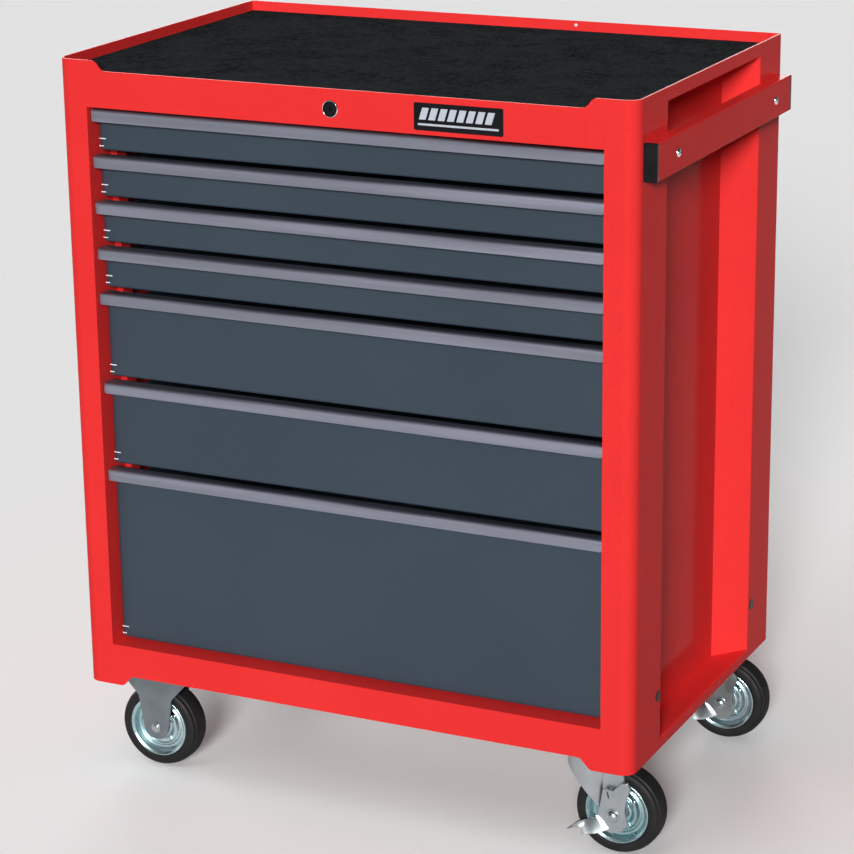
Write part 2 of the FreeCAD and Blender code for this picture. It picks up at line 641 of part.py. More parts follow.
def bolt_places():
    places = []
    for x, y in caster_centres():
        for dx in (-BOLT_HALF[0], BOLT_HALF[0]):
            for dy in (-BOLT_HALF[1], BOLT_HALF[1]):
                places.append((x + dx, y + dy))
    return places


def mounting_plate(x, y):
    hx, hy = PLATE_HALF
    plate = plate_xy([(x - hx, y - hy, 5), (x + hx, y - hy, 5), (x + hx, y + hy, 5), (x - hx, y + hy, 5)],
                     PLATE_TOP - PLATE_T, PLATE_TOP)
    for dx in (-BOLT_HALF[0], BOLT_HALF[0]):
        for dy in (-BOLT_HALF[1], BOLT_HALF[1]):
            plate = plate.cut(rod_z(x + dx, y + dy, BOLT_HOLE_R, PLATE_TOP - 5, PLATE_TOP + 1))
    return plate


def caster_bolt(x, y):
    low = PLATE_TOP - PLATE_T
    head = Part.Face(outline([(x + BOLT_HEAD_R * math.cos(i * math.pi / 3),
                               y + BOLT_HEAD_R * math.sin(i * math.pi / 3)) for i in range(6)],
                             lambda u, v: FreeCAD.Vector(u, v, low - BOLT_HEAD_H)))
    head = head.extrude(FreeCAD.Vector(0, 0, BOLT_HEAD_H))
    nut = head.copy()
    nut.translate(FreeCAD.Vector(0, 0, PLATE_TOP + SHEET - low + BOLT_HEAD_H))
    return fused(head, rod_z(x, y, BOLT_R, low, PLATE_TOP + SHEET), nut)


def fixed_bracket(x, y):
    """Rigid caster: mounting plate and two tapering legs."""
    right = [(x + corner[0],) + corner[1:] for corner in FIXED_HALF_LEG]
    left = [(x - corner[0],) + corner[1:] for corner in reversed(FIXED_HALF_LEG)]
    leg = right + left
    near = plate_xz(leg, y - LEG_GAP - LEG_T, y - LEG_GAP)
    far = plate_xz(leg, y + LEG_GAP, y + LEG_GAP + LEG_T)
    bracket = fused(mounting_plate(x, y), near, far)
    return bracket.cut(rod_y(x, WHEEL_R, AXLE_R, y - 40, y + 40))


def axle(x, y, reach):
    """Shaft with a domed head at each end; reach is the nearer head's distance from the wheel."""
    far = LEG_GAP + LEG_T
    shaft = rod_y(x, WHEEL_R, AXLE_R, y - reach, y + far)
    near_head = dome_y(x, y - reach, WHEEL_R, AXLE_HEAD_R, AXLE_HEAD_H, -1)
    far_head = dome_y(x, y + far, WHEEL_R, AXLE_HEAD_R, AXLE_HEAD_H, 1)
    return fused(shaft, near_head, far_head)


def swivel_plate(x, y):
    race = rod_z(x, y, RACE_R[1], CROWN_Z[1] + RACE_CLEAR, PLATE_TOP - PLATE_T)
    race = race.cut(rod_z(x, y, RACE_R[0], CROWN_Z[1], PLATE_TOP - PLATE_T))
    plate = fused(mounting_plate(x, y), race)
    return plate.cut(rod_z(x, y, KINGPIN_R, PLATE_TOP - 5, PLATE_TOP + 1))


def kingpin(x, y):
    shank = rod_z(x, y, KINGPIN_R, CROWN_Z[0] - RACE_CLEAR, PLATE_TOP)
    high = CROWN_Z[0] - RACE_CLEAR
    head = rod_z(x, y, KINGPIN_HEAD_R, high - KINGPIN_HEAD_H, high)
    return fused(shank, head)


def swivel_fork(x, y):
    """Crown that turns on the kingpin, a round skirt, and two legs that trail the wheel towards +X."""
    low, top = CROWN_Z
    foot = [(x + dx, z) for dx, z in SKIRT_FOOT]
    crease_x, crease_z = foot[-1]
    skirt = rod_z(x, y, SKIRT_R, crease_z, low).cut(rod_z(x, y, SKIRT_R - LEG_T, crease_z, low))
    above_foot = plate_xz(foot + [(crease_x, low), (foot[0][0], low)], y - SKIRT_R, y + SKIRT_R)
    crown = rod_z(x, y, SKIRT_R, low, top)
    leg = [(x + corner[0],) + corner[1:] for corner in FORK_LEG]
    outer = LEG_GAP + LEG_T
    near = plate_xz(leg, y - outer, y - LEG_GAP)
    far = plate_xz(leg, y + LEG_GAP, y + outer)
    web = block(x + FORK_LEG[0][0], x + FORK_LEG[1][0] - FORK_LEG[1][2], y - outer, y + outer, low, top)
    fork = fused(crown, skirt.common(above_foot), web, near, far)
    fork = fork.cut(rod_z(x, y, KINGPIN_R + FIT, low - 1, top + 1))
    return fork.cut(rod_y(x + TRAIL, WHEEL_R, AXLE_R, y - 40, y + 40))


def brake_reach():
    """Distance of the brake plate's outer face from the wheel's middle plane."""
    return LEG_GAP + LEG_T + BRAKE_CLEAR + BRAKE_T


def brake_pedal(x, y):
    """Side plate that turns on the axle, with a notched pedal standing out from its lower edge."""
    hub_x = x + TRAIL
    outer = y - brake_reach()
    plate = plate_xz([(hub_x + corner[0],) + corner[1:] for corner in BRAKE_PLATE], outer, outer + BRAKE_T)
    tongue = plate_xz([(hub_x + corner[0],) + corner[1:] for corner in BRAKE_TONGUE], outer - PEDAL_REACH_Y,
                      outer + BRAKE_T)
    notch_y = outer - PEDAL_REACH_Y / 2
    mouth, end = hub_x + NOTCH_X[0], hub_x + NOTCH_X[1]
    mouth_half, end_half = NOTCH_HALF_W
    notch = plate_xy([(mouth, notch_y - mouth_half), (end, notch_y - end_half, NOTCH_R),
                      (end, notch_y + end_half, NOTCH_R), (mouth, notch_y + mouth_half)], 0, WHEEL_R)
    pedal = fused(plate, tongue.cut(notch))
    return pedal.cut(rod_y(hub_x, WHEEL_R, AXLE_R + FIT, outer - 30, outer + 30))


def turned(half_section, x, y):
    """A wheel part whose half section is mirrored in the wheel's middle plane."""
    near = [(-u, v) for u, v in half_section]
    far = list(reversed(half_section))
    return ring_y(near + far, x, y, WHEEL_R)


# ---------------------------------------------------------------- files
os.makedirs("parts", exist_ok=True)

right_side = side_panel()
save("side_panel_right", right_side)
left_side = mirrored(right_side)
screw_patch = body_z(BAR_Z)
for y in SCREW_Y:
    left_side = fused(left_side, rod_x(y, screw_patch, SCREW_R + SEAM, -HALF_W, -HALF_W + SHEET))
save("side_panel_left", left_side)
save("back_panel", back_panel())
save("top_tray", top_tray())
save("top_mat", top_mat())
save("bottom_pan", bottom_pan())
save("front_top_rail", front_top_rail())
save("front_bottom_rail", front_bottom_rail())
uprights = [slide_upright(y) for y in UPRIGHT_Y]
save("slide_uprights", uprights + [mirrored(upright) for upright in uprights])
save("badge_plate", badge_plate())

outer_members = []
for number, (handle_top, front_low) in enumerate(drawer_levels(), 1):
    middle = slide_height(front_low)
    save("drawer_%d_body" % number, drawer_body(handle_top, front_low))
    save("drawer_%d_handle" % number, drawer_handle(handle_top))
    save("drawer_%d_slides" % number, [slide_inner(middle), mirrored(slide_inner(middle))])
    outer_members += [slide_outer(middle), mirrored(slide_outer(middle))]
save("slide_outer_members", outer_members)

save("side_handle_bar", side_handle_bar())
front_cap = side_handle_cap(BAR_Y[0], BAR_Y[0] + CAP_T, BAR_Y[0] + CAP_T, BAR_Y[0] + CAP_T + CAP_PLUG)
rear_cap = side_handle_cap(BAR_Y[1] - CAP_T, BAR_Y[1], BAR_Y[1] - CAP_T - CAP_PLUG, BAR_Y[1] - CAP_T)
save("side_handle_end_caps", [front_cap, rear_cap])
save("side_handle_screws", [side_handle_screw(y) for y in SCREW_Y])
plugs = [hole_plug(y) for y in PLUG_Y]
save("hole_plugs", plugs + [mirrored(plug) for plug in plugs])

save("lock_housing", lock_housing())
save("lock_plug", lock_plug())
save("lock_rod", lock_rod())
save("lock_bar", lock_bar())
save("lock_bar_guides", [lock_bar_guide(body_z(z)) for z in GUIDE_Z])

save("caster_bolts", [caster_bolt(x, y) for x, y in bolt_places()])
save("fixed_caster_brackets", [fixed_bracket(-CASTER_X, y) for y in CASTER_Y])
save("fixed_caster_axles", [axle(-CASTER_X, y, LEG_GAP + LEG_T) for y in CASTER_Y])
save("swivel_caster_plates", [swivel_plate(CASTER_X, y) for y in CASTER_Y])
save("swivel_kingpins", [kingpin(CASTER_X, y) for y in CASTER_Y])
for end, y in zip(("front", "rear"), CASTER_Y):
    save("swivel_fork_" + end, swivel_fork(CASTER_X, y))
    save("swivel_axle_" + end, axle(CASTER_X + TRAIL, y, brake_reach() + RACE_CLEAR))
    save("brake_pedal_" + end, brake_pedal(CASTER_X, y))
    for side, wheel_x in (("left", -CASTER_X), ("right", CASTER_X + TRAIL)):
        save("tyre_%s_%s" % (end, side), turned(TYRE_SECTION, wheel_x, y))
        save("rim_%s_%s" % (end, side), turned(RIM_SECTION, wheel_x, y))
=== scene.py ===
import json
import math

import bmesh
import bpy
from mathutils import Matrix, Vector


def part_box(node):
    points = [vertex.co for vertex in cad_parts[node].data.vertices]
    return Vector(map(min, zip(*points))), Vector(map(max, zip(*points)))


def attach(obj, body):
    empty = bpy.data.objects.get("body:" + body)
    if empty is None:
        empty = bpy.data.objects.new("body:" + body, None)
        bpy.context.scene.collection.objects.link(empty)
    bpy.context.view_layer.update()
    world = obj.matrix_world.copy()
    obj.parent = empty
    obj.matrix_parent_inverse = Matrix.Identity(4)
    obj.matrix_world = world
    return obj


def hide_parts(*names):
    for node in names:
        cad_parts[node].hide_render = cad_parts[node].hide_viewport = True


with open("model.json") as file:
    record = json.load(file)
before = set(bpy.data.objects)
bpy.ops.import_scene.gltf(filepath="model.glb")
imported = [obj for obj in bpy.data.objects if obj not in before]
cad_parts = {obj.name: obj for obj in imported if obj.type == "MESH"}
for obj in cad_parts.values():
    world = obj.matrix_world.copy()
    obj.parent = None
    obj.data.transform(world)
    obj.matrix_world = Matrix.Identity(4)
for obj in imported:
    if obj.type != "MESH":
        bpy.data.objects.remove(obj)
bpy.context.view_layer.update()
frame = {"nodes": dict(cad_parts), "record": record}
NODES = frame["nodes"]
MM = 0.001


# ---------------------------------------------------------------- materials
class Shader:
    """A Principled material whose patterns are built from the object's own coordinates."""

    def __init__(self, name, **sockets):
        self.material = bpy.data.materials.new(name)
        self.material.use_nodes = True
        self.tree = self.material.node_tree
        self.shader = self.tree.nodes["Principled BSDF"]
        for socket, value in sockets.items():
            self.shader.inputs[socket.replace("_", " ")].default_value = value
        self.place = self.tree.nodes.new("ShaderNodeTexCoord").outputs["Object"]

    def node(self, kind, inputs=(), **settings):
        made = self.tree.nodes.new("ShaderNode" + kind)
        for name, value in settings.items():
            setattr(made, name, value)
        for key, value in dict(inputs).items():
            if isinstance(value, bpy.types.NodeSocket):
                self.tree.links.new(value, made.inputs[key])
            else:
                made.inputs[key].default_value = value
        return made

    def noise(self, size, detail=3.0, stretch=(1, 1, 1), seed=0.0):
        """Noise whose blotches are about size metres across, longer along a small stretch."""
        moved = self.node("Mapping", {"Vector": self.place, "Scale": stretch, "Location": (seed, seed, seed)})
        inputs = {"Vector": moved.outputs[0], "Scale": 1 / size, "Detail": detail}
        return self.node("TexNoise", inputs).outputs["Fac"]

    def spread(self, value, low, high):
        """Maps the useful middle of a noise onto low to high."""
        inputs = {"Value": value, "From Min": 0.3, "From Max": 0.7, "To Min": low, "To Max": high}
        return self.node("MapRange", inputs, interpolation_type="SMOOTHERSTEP").outputs["Result"]

    def mix(self, share, first, second):
        made = self.node("Mix", {"Factor": share}, data_type="RGBA")
        for socket, value in ((made.inputs[6], first), (made.inputs[7], second)):
            if isinstance(value, bpy.types.NodeSocket):
                self.tree.links.new(value, socket)
            else:
                socket.default_value = (*value, 1)
        return made.outputs[2]

    def join(self, value, socket):
        self.tree.links.new(value, self.shader.inputs[socket])

    def bump(self, *layers):
        """Layers of (height, distance in metres)."""
        normal = None
        for height, distance in layers:
            inputs = {"Height": height, "Distance": distance, "Strength": 1.0}
            if normal is not None:
                inputs["Normal"] = normal
            normal = self.node("Bump", inputs).outputs["Normal"]
        self.join(normal, "Normal")


def paint(name, color, dark, roughness, gloss):
    """Baked powder coat: fine orange peel, faint changes of tone and a few dust specks."""
    s = Shader(name, Specular_IOR_Level=gloss)
    tone = s.spread(s.noise(0.22, 2.0), 0.0, 0.6)
    fleck = s.spread(s.noise(0.0035, 2.0, seed=4.0), -1.2, 0.5)
    s.join(s.mix(fleck, s.mix(tone, color, dark), dark), "Base Color")
    s.join(s.spread(s.noise(0.20, 2.0, seed=2.0), roughness - 0.03, roughness + 0.03), "Roughness")
    s.bump((s.noise(0.0024, 2.0), 0.000012))
    return s.material


def metal(name, color, dark, roughness, grain, stretch=(1, 1, 1), scratch=0.00001):
    """Bare or plated metal: soft clouding and a fine grain, drawn out along a small stretch."""
    s = Shader(name, Metallic=1.0)
    tone = s.spread(s.noise(grain * 20, 3.0, stretch), 0.0, 1.0)
    s.join(s.mix(tone, color, dark), "Base Color")
    s.join(s.spread(s.noise(grain * 12, 3.0, stretch, 3.0), roughness - 0.05, roughness + 0.07), "Roughness")
    s.bump((s.noise(grain, 3.0, stretch, 7.0), scratch))
    return s.material


def moulded(name, color, worn, roughness, grain, depth, gloss=0.4):
    """Moulded plastic or rubber: finely pitted and dusty in patches."""
    s = Shader(name, Specular_IOR_Level=gloss)
    s.join(s.mix(s.spread(s.noise(0.02, 5.0), 0.0, 0.8), color, worn), "Base Color")
    s.join(s.spread(s.noise(0.012, 3.0, seed=5.0), roughness - 0.08, roughness + 0.08), "Roughness")
    s.bump((s.noise(grain, 3.0), depth))
    return s.material


def matting(name, color, fibre):
    """Rubber matting pressed with a fine weave: two crossing sets of short fibres."""
    s = Shader(name, Specular_IOR_Level=0.0)
    along = s.noise(0.0016, 4.0, (0.12, 1, 1))
    across = s.noise(0.0016, 4.0, (1, 0.12, 1), 9.0)
    weave = s.node("Math", {0: along, 1: across}, operation="MAXIMUM").outputs[0]
    patch = s.spread(s.noise(0.05, 4.0, seed=2.0), 0.0, 0.5)
    s.join(s.mix(patch, s.mix(s.spread(weave, -0.6, 0.9), color, fibre), fibre), "Base Color")
    s.join(s.spread(s.noise(0.01, 3.0), 0.78, 0.92), "Roughness")
    s.bump((weave, 0.0004))
    return s.material


MATERIALS = {
    "red_paint": paint("red_paint", (0.78, 0.036, 0.034), (0.72, 0.029, 0.030), 0.15, 0.01),
    "slate_paint": paint("slate_paint", (0.034, 0.051, 0.070), (0.029, 0.044, 0.061), 0.38, 0.30),
    "pull_aluminium": metal("pull_aluminium", (0.34, 0.35, 0.43), (0.27, 0.28, 0.34),
                            0.42, 0.0006, (0.03, 1, 1)),
    "zinc_plate": metal("zinc_plate", (0.50, 0.54, 0.56), (0.42, 0.47, 0.49),
                        0.30, 0.0020, scratch=0.000002),
    "slide_steel": metal("slide_steel", (0.62, 0.63, 0.62), (0.52, 0.53, 0.52),
                         0.30, 0.0006, (1, 0.03, 1)),
    "chrome": metal("chrome", (0.80, 0.80, 0.83), (0.72, 0.72, 0.76), 0.10, 0.0006, scratch=0.000003),
    "black_plastic": moulded("black_plastic", (0.006, 0.006, 0.007), (0.012, 0.012, 0.013),
                             0.32, 0.0007, 0.00002, 0.12),
    "badge_black": moulded("badge_black", (0.006, 0.006, 0.008), (0.010, 0.010, 0.012),
                           0.16, 0.0006, 0.000005, 0.10),
    "mat_rubber": matting("mat_rubber", (0.0105, 0.0120, 0.0135), (0.039, 0.044, 0.048)),
    "tyre_rubber": moulded("tyre_rubber", (0.007, 0.0065, 0.007), (0.013, 0.012, 0.013),
                           0.58, 0.0008, 0.00004, 0.25),
    # A darker copy of the zinc plating: painted shade for the dark surroundings the fixed brackets reflect.
    "zinc_painted_dark": metal("zinc_painted_dark", (0.25, 0.28, 0.30), (0.19, 0.22, 0.24),
                       0.34, 0.0020, scratch=0.000002),
    "zinc_teal": metal("zinc_teal", (0.56, 0.68, 0.71), (0.36, 0.55, 0.58),
                       0.27, 0.0030, scratch=0.000002),
    "badge_silver": moulded("badge_silver", (0.52, 0.55, 0.62), (0.44, 0.47, 0.54),
                            0.30, 0.0006, 0.00001),
    # White material: the rear rim rivet's own nylon, and on the drawer strips a painted highlight.
    "white_nylon_and_highlight": moulded("white_nylon_and_highlight", (0.78, 0.78, 0.80), (0.70, 0.70, 0.73),
                           0.35, 0.0006, 0.00001),
}

for part in frame["record"]["subparts"]:
    NODES[part["node"]].data.materials.clear()
    NODES[part["node"]].data.materials.append(MATERIALS[part["material_slot"]])


# ---------------------------------------------------------------- mesh tools, in millimetres
def outline(corners, arc_step=math.radians(9)):
    """Points of a closed outline of (u, v) or (u, v, radius) corners, each radius a tangent arc."""
    points = []
    count = len(corners)
    for i, corner in enumerate(corners):
        here = Vector(corner[:2])
        radius = corner[2] if len(corner) > 2 else 0.0
        if not radius:
            points.append(here)
            continue
        a = (Vector(corners[i - 1][:2]) - here).normalized()
        b = (Vector(corners[(i + 1) % count][:2]) - here).normalized()
        half = a.angle(b) / 2
        centre = here + (a + b).normalized() * (radius / math.sin(half))
        start = here + a * (radius / math.tan(half)) - centre
        end = here + b * (radius / math.tan(half)) - centre
        first = math.atan2(start.y, start.x)
        turn = (math.atan2(end.y, end.x) - first + math.pi) % (2 * math.pi) - math.pi
        steps = max(2, round(abs(turn) / arc_step))
        for k in range(steps + 1):
            angle = first + turn * k / steps
            points.append(centre + Vector((math.cos(angle), math.sin(angle))) * radius)
    return points


def circle(u, v, radius, steps=24):
    return [(u + radius * math.cos(2 * math.pi * k / steps), v + radius * math.sin(2 * math.pi * k / steps))
            for k in range(steps)]


class Shape:
    """A mesh put together from grids, lathed forms and plates."""

    def __init__(self):
        self.bm = bmesh.new()

    def grid(self, rows, closed_rows=False, closed_columns=False):
        """Quads between rows of points of equal length."""
        verts = [[self.bm.verts.new(point) for point in row] for row in rows]
        for i in range(len(rows) - (0 if closed_rows else 1)):
            a, b = verts[i], verts[(i + 1) % len(rows)]
            for j in range(len(a) - (0 if closed_columns else 1)):
                k = (j + 1) % len(a)
                self.bm.faces.new((a[j], a[k], b[k], b[j]))
        return verts

    def lathe(self, profile, centre, axis="Y", segments=96, closed=True):
        """(offset along the axis, radius) points turned round the axis through centre."""
        along, first, second = {"X": (0, 1, 2), "Y": (1, 2, 0), "Z": (2, 0, 1)}[axis]
        rows = []
        for offset, radius in profile:
            row = []
            for k in range(segments):
                angle = 2 * math.pi * k / segments
                point = list(centre)
                point[along] += offset
                point[first] += radius * math.cos(angle)
                point[second] += radius * math.sin(angle)
                row.append(point)
            rows.append(row)
        return self.grid(rows, closed_rows=closed, closed_columns=True)

    def knob(self, profile, centre, axis="Y", segments=32):
        """A lathed form whose first and last rings are closed by flat caps."""
        rings = self.lathe(profile, centre, axis, segments, closed=False)
        self.bm.faces.new(rings[0])
        self.bm.faces.new(rings[-1])

    def plate(self, corners, place, low, high, holes=()):
        """A plate: place(u, v, depth) puts an outline's point at depth low and at depth high."""
        sides = []
        for depth in (low, high):
            edges = []
            for loop in [outline(corners)] + list(holes):
                verts = [self.bm.verts.new(place(u, v, depth)) for u, v in loop]
                edges += [self.bm.edges.new((verts[i - 1], verts[i])) for i in range(len(verts))]
            bmesh.ops.triangle_fill(self.bm, use_beauty=True, use_dissolve=True, edges=edges)
            sides.append(edges)
        for near, far in zip(*sides):
            a, b = near.verts
            c, d = far.verts
            self.bm.faces.new((a, b, d, c))

    def block(self, low, high):
        size = Vector(high) - Vector(low)
        centre = (Vector(high) + Vector(low)) / 2
        place = Matrix.Translation(centre) @ Matrix.Diagonal((*size, 1))
        bmesh.ops.create_cube(self.bm, size=1.0, matrix=place)

    def soften(self, width, angle=35.0, segments=2):
        """Rounds every edge that is sharper than angle."""
        bmesh.ops.remove_doubles(self.bm, verts=self.bm.verts, dist=1e-3)
        flat = math.radians(0.5)
        bmesh.ops.dissolve_limit(self.bm, angle_limit=flat, verts=self.bm.verts, edges=self.bm.edges)
        sharp = [edge for edge in self.bm.edges
                 if len(edge.link_faces) == 2 and edge.calc_face_angle() > math.radians(angle)]
        bmesh.ops.bevel(self.bm, geom=sharp, offset=width, offset_type="OFFSET", segments=segments,
                        profile=0.5, affect="EDGES", clamp_overlap=True)

    def piece(self, name, slot, body, stands_for=(), weld=True, sheet=0.0):
        """Turns the form into a finished piece that rides on body and may stand for CAD nodes."""
        bm = self.bm
        if weld:
            bmesh.ops.remove_doubles(bm, verts=bm.verts, dist=1e-3)
        bmesh.ops.recalc_face_normals(bm, faces=bm.faces)
        for vert in bm.verts:
            vert.co *= MM
        mesh = bpy.data.meshes.new(name)
        bm.to_mesh(mesh)
        bm.free()
        mesh.materials.append(MATERIALS[slot])
        mesh.shade_smooth()
        made = bpy.data.objects.new(name, mesh)
        bpy.context.scene.collection.objects.link(made)
        if sheet:
            thick = made.modifiers.new("thickness", "SOLIDIFY")
            thick.thickness = sheet * MM
            thick.offset = 0.0
            rounded = made.modifiers.new("edges", "BEVEL")
            rounded.width = 0.3 * sheet * MM
            rounded.segments = 2
            rounded.angle_limit = math.radians(50)
        made.modifiers.new("shading", "WEIGHTED_NORMAL").keep_sharp = True
        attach(made, body)
        if stands_for:
            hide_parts(*stands_for)
        return made


def softened(node, width):
    """The CAD node's own form with every folded, cut or moulded edge rounded as a real one is."""
    shape = Shape()
    shape.bm.from_mesh(NODES[node].data)
    bmesh.ops.scale(shape.bm, vec=(1 / MM, 1 / MM, 1 / MM), verts=shape.bm.verts)
    shape.soften(width)
    return shape.piece(node + "_skin", SLOTS[node], BODY_OF[node], [node], weld=False)


def middle(node):
    low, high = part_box(node)
    return (low + high) / (2 * MM)


SLOTS = {part["node"]: part["material_slot"] for part in frame["record"]["subparts"]}
BODY_OF = {node: body for body, nodes in frame["record"]["behaviour"]["bodies"].items() for node in nodes}
WHEELS = [end + "_" + side for end in ("front", "rear") for side in ("left", "right")]
TYRE_R, RIM_R, AXLE_R = 50.0, 37.0, 6.0


# ---------------------------------------------------------------- casters
def tyre(wheel):
    """Solid rubber tyre: round shoulders, a groove beside each and a ribbed tread between."""
    shoulder = [(-14.6, 37.0), (-15.6, 37.8), (-16.0, 39.2), (-16.1, 42.0), (-15.9, 44.4), (-15.2, 46.2),
                (-14.2, 47.4), (-13.0, 48.0), (-12.0, 47.8), (-11.4, 47.0), (-11.0, 46.2), (-10.5, 46.2),
                (-10.2, 47.0), (-9.9, 48.4), (-9.2, 49.3)]
    ribs = []
    count, half = 72, 8.6
    for i in range(count + 1):
        u = -half + 2 * half * i / count
        rib = 0.35 * (0.5 - 0.5 * math.cos(2 * math.pi * i / 8))
        ribs.append((u, TYRE_R - 0.35 - 0.5 * (u / half) ** 4 + rib))
    far = [(-u, r) for u, r in reversed(shoulder)]
    shape = Shape()
    shape.lathe(shoulder + ribs + far, middle("rim_" + wheel), segments=144)
    shape.piece("tyre_tread_" + wheel, "tyre_rubber", BODY_OF["tyre_" + wheel], ["tyre_" + wheel])


def rim(wheel):
    """Two pressed discs, passivated teal: rolled edge, deep dish with a ridge, raised hub, and rivets."""
    centre = middle("rim_" + wheel)
    near = [(-13.0, RIM_R), (-15.0, RIM_R), (-15.7, 36.6), (-16.0, 36.0), (-15.9, 35.3), (-15.4, 34.7),
            (-14.9, 34.3), (-14.7, 33.6), (-14.3, 33.0), (-13.2, 32.5), (-11.0, 31.9), (-9.0, 31.2),
            (-7.9, 30.4), (-7.4, 29.3), (-7.3, 27.6), (-7.7, 26.8), (-8.5, 26.1), (-9.0, 25.0),
            (-8.8, 23.8), (-8.0, 23.0), (-7.6, 22.2), (-7.6, 19.6), (-8.0, 18.6), (-9.2, 17.4),
            (-10.9, 16.4), (-12.2, 15.3), (-12.8, 14.0), (-13.0, 12.4), (-13.4, 11.6), (-14.2, 11.2),
            (-16.4, 11.0), (-16.9, 10.6), (-17.0, 10.0), (-17.0, AXLE_R + 0.3)]
    far = [(-u, r) for u, r in reversed(near)]
    shape = Shape()
    shape.lathe(near + far, centre, segments=128)
    rivets, rivet_circle, rivet_face = 4, 20.6, 7.2
    for side in (-1, 1):
        head = [(0.0, 2.6), (side * 0.9, 2.5), (side * 1.5, 1.9), (side * 1.8, 1.0), (side * 1.9, 0.3)]
        for k in range(rivets):
            angle = math.radians(35) + 2 * math.pi * k / rivets
            x, z = rivet_circle * math.cos(angle), rivet_circle * math.sin(angle)
            shape.knob(head, centre + Vector((x, side * rivet_face, z)), segments=16)
    node = "rim_" + wheel
    disc = shape.piece("disc_wheel_" + wheel, "zinc_plate", BODY_OF[node], [node], weld=False)
    disc.data.materials[0] = MATERIALS["zinc_teal"]


def swivel_fork(end):
    """One pressing: domed crown, a round skirt cut off slantwise in front, and two flat legs."""
    node = "swivel_fork_" + end
    body = BODY_OF[node]
    x0, y0 = middle("swivel_caster_plates").x, middle(node).y
    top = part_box(node)[1].z / MM
    fork_skirt(end, body, x0, y0, top)
    legs = Shape()
    leg = [(16.0, top - 1.0), (40.0, top - 1.0, 6), (44.0, 92.0, 14), (48.6, 50.0, 14.5), (34.0, 32.0, 13.6),
           (19.5, 48.0, 10), (16.0, 62.0)]
    bore = circle(34.0, 50.0, AXLE_R + 0.05)
    inner, outer, sheet = 18.1, 20.5, 3.0
    for side in (-1, 1):
        legs.plate(leg, lambda u, v, w: (x0 + u, w, v), y0 + side * inner, y0 + side * outer, [bore])
    legs.block((x0 + 19.2, y0 - inner, top - sheet), (x0 + 34.0, y0 + inner, top))
    legs.soften(0.5, 50)
    legs.piece("fork_legs_" + end, "zinc_plate", body, [node], weld=False)
    crown = Shape()
    ring = [(top - 2.4, 5.3), (top, 5.3), (top, 23.5), (top - 0.6, 24.5), (top - 2.4, 24.5)]
    crown.lathe(ring, (x0, y0, 0), "Z", 64)
    crown.piece("fork_crown_" + end, "zinc_plate", body)


def fork_skirt(end, body, x0, y0, top):
    """The pressed bowl about the kingpin, open behind between the legs' roots."""
    radius, leg_y, bend_r = 27.4, 19.3, 5.0
    columns, heights, bends = 56, 15, 6
    start = math.asin(leg_y / radius)
    rows = [[] for _ in range(heights)]
    for i in range(columns + 1):
        angle = start + (2 * math.pi - 2 * start) * i / columns
        dx, dy = radius * math.cos(angle), radius * math.sin(angle)
        foot = 76.6 - 1.21 * dx - 0.0089 * dx * dx
        for k in range(heights):
            share = k / (heights - 1)
            z = top - bend_r - (top - bend_r - foot) * share
            rows[k].append((x0 + dx, y0 + dy, z))
    dome = []
    for k in range(bends - 1):
        bend = math.pi / 2 * k / (bends - 1)
        reach = (radius - bend_r + bend_r * math.sin(bend)) / radius
        z = top - bend_r + bend_r * math.cos(bend)
        dome.append([(x0 + (x - x0) * reach, y0 + (y - y0) * reach, z) for x, y, _ in rows[0]])
    shape = Shape()
    shape.grid(dome + rows)
    shape.piece("fork_skirt_" + end, "zinc_plate", body, weld=False, sheet=2.4)


def brake(end):
    """Notched side plate on the axle, with a twisted pedal that ends in two claws."""
    body = BODY_OF["brake_pedal_" + end]
    hub = middle("rim_%s_right" % end)
    face_y = hub.y - 26.1
    shape = Shape()
    plate = [(15.4, 41.2, 3), (20.2, 35.2, 5), (15.4, 21.2, 18), (13.4, 5.2, 14), (17.4, -6.8, 6),
             (10.3, -16.8, 6), (-1.2, -20.8, 5), (-8.2, -18.8, 3), (-17.8, -3.8, 4), (-15.2, 11.2, 10),
             (-11.7, 30.7, 2), (0.3, 29.8, 2), (10.4, 40.6, 2)]
    slot = [(-7.9, 28.2), (-5.6, 28.4), (-3.6, 20.4), (-5.9, 19.8)]
    shape.plate(plate, lambda u, v, w: (hub.x + u, w, hub.z + v), face_y - 1.1, face_y + 1.1,
                [circle(0, 0, AXLE_R + 0.05), slot])
    shape.soften(0.45, 50)
    shape.piece("brake_plate_" + end, "zinc_plate", body, ["brake_pedal_" + end], weld=False)
    tongue = Shape()
    middles = [Vector((-10.2, 0.0, -8.8)), Vector((-14.5, -3.0, -10.6)), Vector((-20.4, -8.2, -12.0)),
               Vector((-27.1, -14.0, -11.8)), Vector((-32.6, -17.4, -12.2))]
    across = [Vector((6.4, 0.0, -6.8)), Vector((5.2, -1.6, -7.4)), Vector((3.0, -2.2, -7.8)),
              Vector((2.2, -1.0, -7.6)), Vector((2.0, 0.6, -7.0))]
    claw = Vector((-13.0, -1.5, -8.5))
    rows = []
    count = 24
    for i in range(count + 1):
        along = i / count
        row = []
        for k in range(17):
            t = -1 + 2 * k / 16
            reach = 1.0 - 0.16 * math.exp(-((t - 0.25) / 0.28) ** 2)
            place = spline(middles, along * reach) + spline(across, along * reach) * t
            beak = max(0.0, 1 - abs(t + 0.62) / 0.38) * max(0.0, (along - 0.75) / 0.25) ** 1.5
            row.append(Vector((hub.x, face_y, hub.z)) + place + claw * beak)
        rows.append(row)
    tongue.grid(rows)
    tongue.piece("brake_pedal_tongue_" + end, "zinc_plate", body, weld=False, sheet=2.0)


